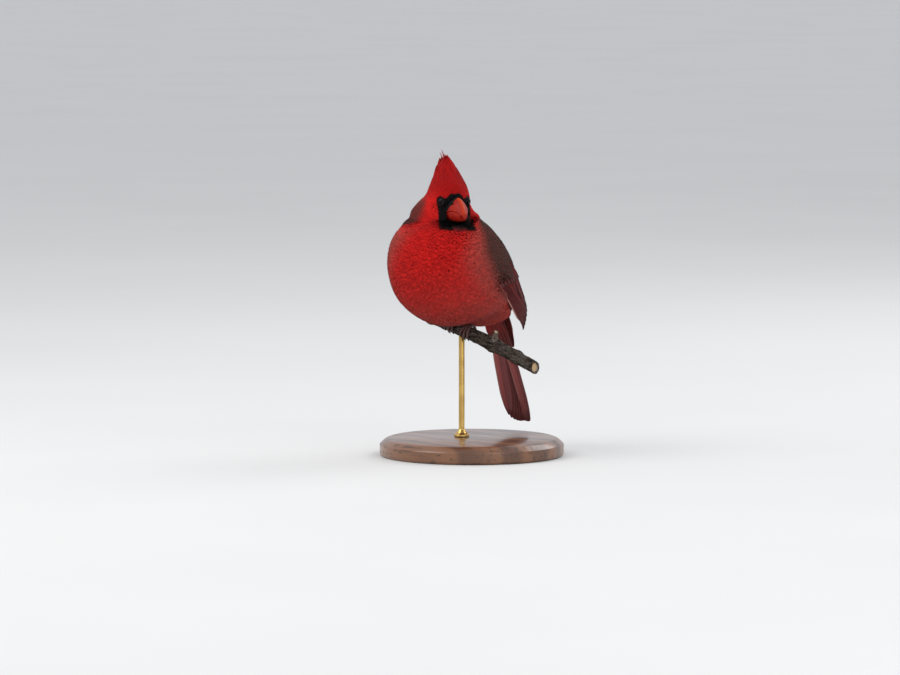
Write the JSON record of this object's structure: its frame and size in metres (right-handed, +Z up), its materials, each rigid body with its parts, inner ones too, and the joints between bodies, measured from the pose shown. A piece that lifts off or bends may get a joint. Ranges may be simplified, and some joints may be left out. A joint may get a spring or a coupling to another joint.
{
  "type": "perched songbird model",
  "caption": "Life-size crested red songbird, fluffed up on a cut length of branch with its head turned, held over a round wooden base by a thin brass rod.",
  "frame": {"origin": "centre of the underside of the round base, on the surface it stands on", "axes": "+Z up; the bird's body faces -Y with its left side towards +X, its tail hangs at the +Y side, and its head is turned to its left"},
  "size_m": [0.126, 0.126, 0.2059],
  "materials": {
    "body_feathers": "soft matt, bright red breast feathers",
    "crest_feathers": "soft matt, deep red crest feathers",
    "wing_feathers": "dull dark red vanes with a faint sheen",
    "tail_feathers": "dull red vanes with a faint sheen",
    "bill_horn": "smooth coral horn, satin",
    "eye_dark": "wet dark brown, glossy",
    "leg_scale": "dark pinkish brown scales, satin",
    "bark": "rough grey brown bark",
    "base_wood": "dark turned wood, waxed",
    "rod_brass": "brushed brass, satin"
  },
  "bodies": {
    "root": {"torso": "body_feathers", "neck": "body_feathers", "head": "body_feathers", "crest": "crest_feathers", "eye_left": "eye_dark", "eye_right": "eye_dark", "bill_upper": "bill_horn", "bill_lower": "bill_horn", "wing_left": "wing_feathers", "wing_right": "wing_feathers", "tail": "tail_feathers", "leg_left": "leg_scale", "leg_right": "leg_scale", "foot_left": "leg_scale", "foot_right": "leg_scale", "perch": "bark", "stand_base": "base_wood", "stand_rod": "rod_brass"}
  },
  "joints": []
}
